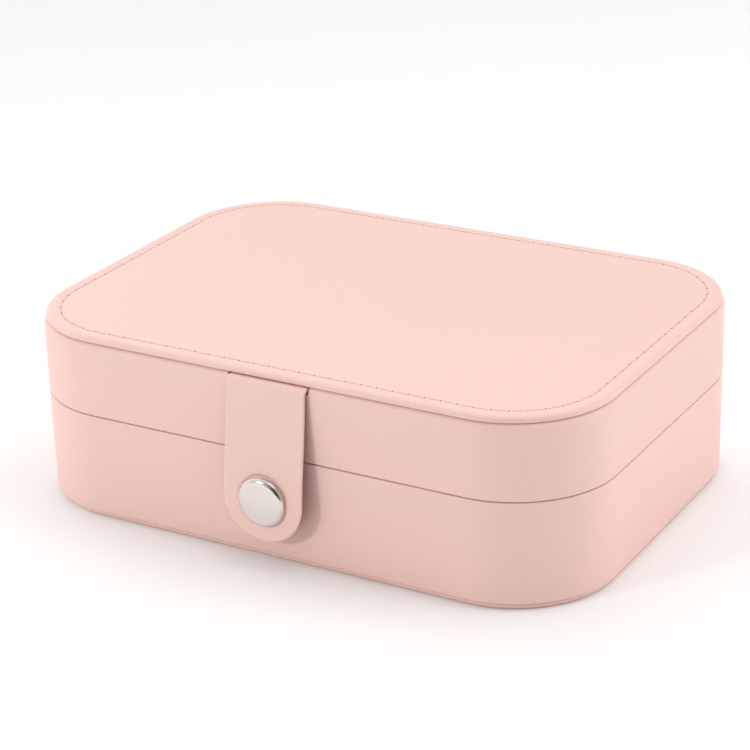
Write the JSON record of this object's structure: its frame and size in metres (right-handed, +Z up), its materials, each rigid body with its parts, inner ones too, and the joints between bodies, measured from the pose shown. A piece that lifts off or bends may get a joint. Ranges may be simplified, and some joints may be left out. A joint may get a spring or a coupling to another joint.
{
  "type": "jewellery case",
  "caption": "Small rounded leather travel jewellery case with a hinged stitched lid, a strap with a snap, ring rolls, dividers, a lid pocket and necklace tabs.",
  "frame": {"origin": "centre of the case's rounded-rectangle footprint, on the underside", "axes": "+X along the case's length to its right, -Y towards the front with the strap, +Z up"},
  "size_m": [0.16, 0.1224, 0.05],
  "materials": {
    "pink_leather": "pale pink fine-grained coated leather, soft sheen",
    "velvet": "short-pile velvet lining",
    "pocket_fabric": "gathered satin-like lining",
    "grey_board": "pressed grey board",
    "foam": "thin foam sheet",
    "snap_metal": "polished nickel plate"
  },
  "bodies": {
    "base": {"base_bottom_panel": "pink_leather", "base_bottom_board": "grey_board", "base_floor_pad": "velvet", "base_wall_leather": "pink_leather", "base_wall_board": "grey_board", "base_wall_lining": "velvet", "fixed_divider_left": "velvet", "fixed_divider_right": "velvet", "ring_roll_1": "velvet", "ring_roll_2": "velvet", "ring_roll_3": "velvet", "ring_roll_4": "velvet", "ring_roll_5": "velvet", "ring_roll_6": "velvet", "ring_roll_7": "velvet", "ring_roll_8": "velvet", "ring_roll_9": "velvet", "snap_stud": "snap_metal", "snap_post": "snap_metal", "hinge_strip": "pink_leather", "hinge_lining": "velvet"},
    "lid": {"lid_top_panel": "pink_leather", "lid_top_padding": "foam", "lid_top_board": "grey_board", "lid_wall_leather": "pink_leather", "lid_wall_board": "grey_board", "lid_wall_lining": "velvet", "lid_lining_panel": "velvet", "lid_pocket": "pocket_fabric", "pocket_elastic": "pocket_fabric", "necklace_tab_strip": "pink_leather", "necklace_stud_left": "snap_metal", "necklace_stud_middle": "snap_metal", "necklace_stud_right": "snap_metal", "strap_root": "pink_leather"},
    "strap": {"strap_leather": "pink_leather", "strap_backing": "pink_leather", "snap_cap": "snap_metal", "snap_socket": "snap_metal"},
    "sliding_divider_left": {"sliding_divider_left": "velvet"},
    "sliding_divider_right": {"sliding_divider_right": "velvet"},
    "necklace_tab_left": {"necklace_tab_left": "pink_leather", "necklace_snap_left": "snap_metal"},
    "necklace_tab_middle": {"necklace_tab_middle": "pink_leather", "necklace_snap_middle": "snap_metal"},
    "necklace_tab_right": {"necklace_tab_right": "pink_leather", "necklace_snap_right": "snap_metal"}
  },
  "joints": [
    {"name": "lid_hinge", "type": "hinge", "parent": "base", "child": "lid", "pos_m": [0, 0.0579, 0.0285], "axis": [-1, 0, 0], "range_deg": [0, 110], "deforming": ["hinge_strip", "hinge_lining"]},
    {"name": "strap_fold", "type": "hinge", "parent": "lid", "child": "strap", "pos_m": [0, -0.058, 0.048], "axis": [-1, 0, 0], "range_deg": [0, 135]},
    {"name": "divider_slide_left", "type": "slide", "parent": "base", "child": "sliding_divider_left", "axis": [0, 1, 0], "range_m": [-0.012, 0.012]},
    {"name": "divider_slide_right", "type": "slide", "parent": "base", "child": "sliding_divider_right", "axis": [0, 1, 0], "range_m": [-0.012, 0.012]},
    {"name": "necklace_tab_swing_left", "type": "hinge", "parent": "lid", "child": "necklace_tab_left", "pos_m": [-0.036, -0.044, 0.0415], "axis": [-1, 0, 0], "range_deg": [0, 65]},
    {"name": "necklace_tab_swing_middle", "type": "hinge", "parent": "lid", "child": "necklace_tab_middle", "pos_m": [0, -0.044, 0.0415], "axis": [-1, 0, 0], "range_deg": [0, 65]},
    {"name": "necklace_tab_swing_right", "type": "hinge", "parent": "lid", "child": "necklace_tab_right", "pos_m": [0.036, -0.044, 0.0415], "axis": [-1, 0, 0], "range_deg": [0, 65]}
  ]
}
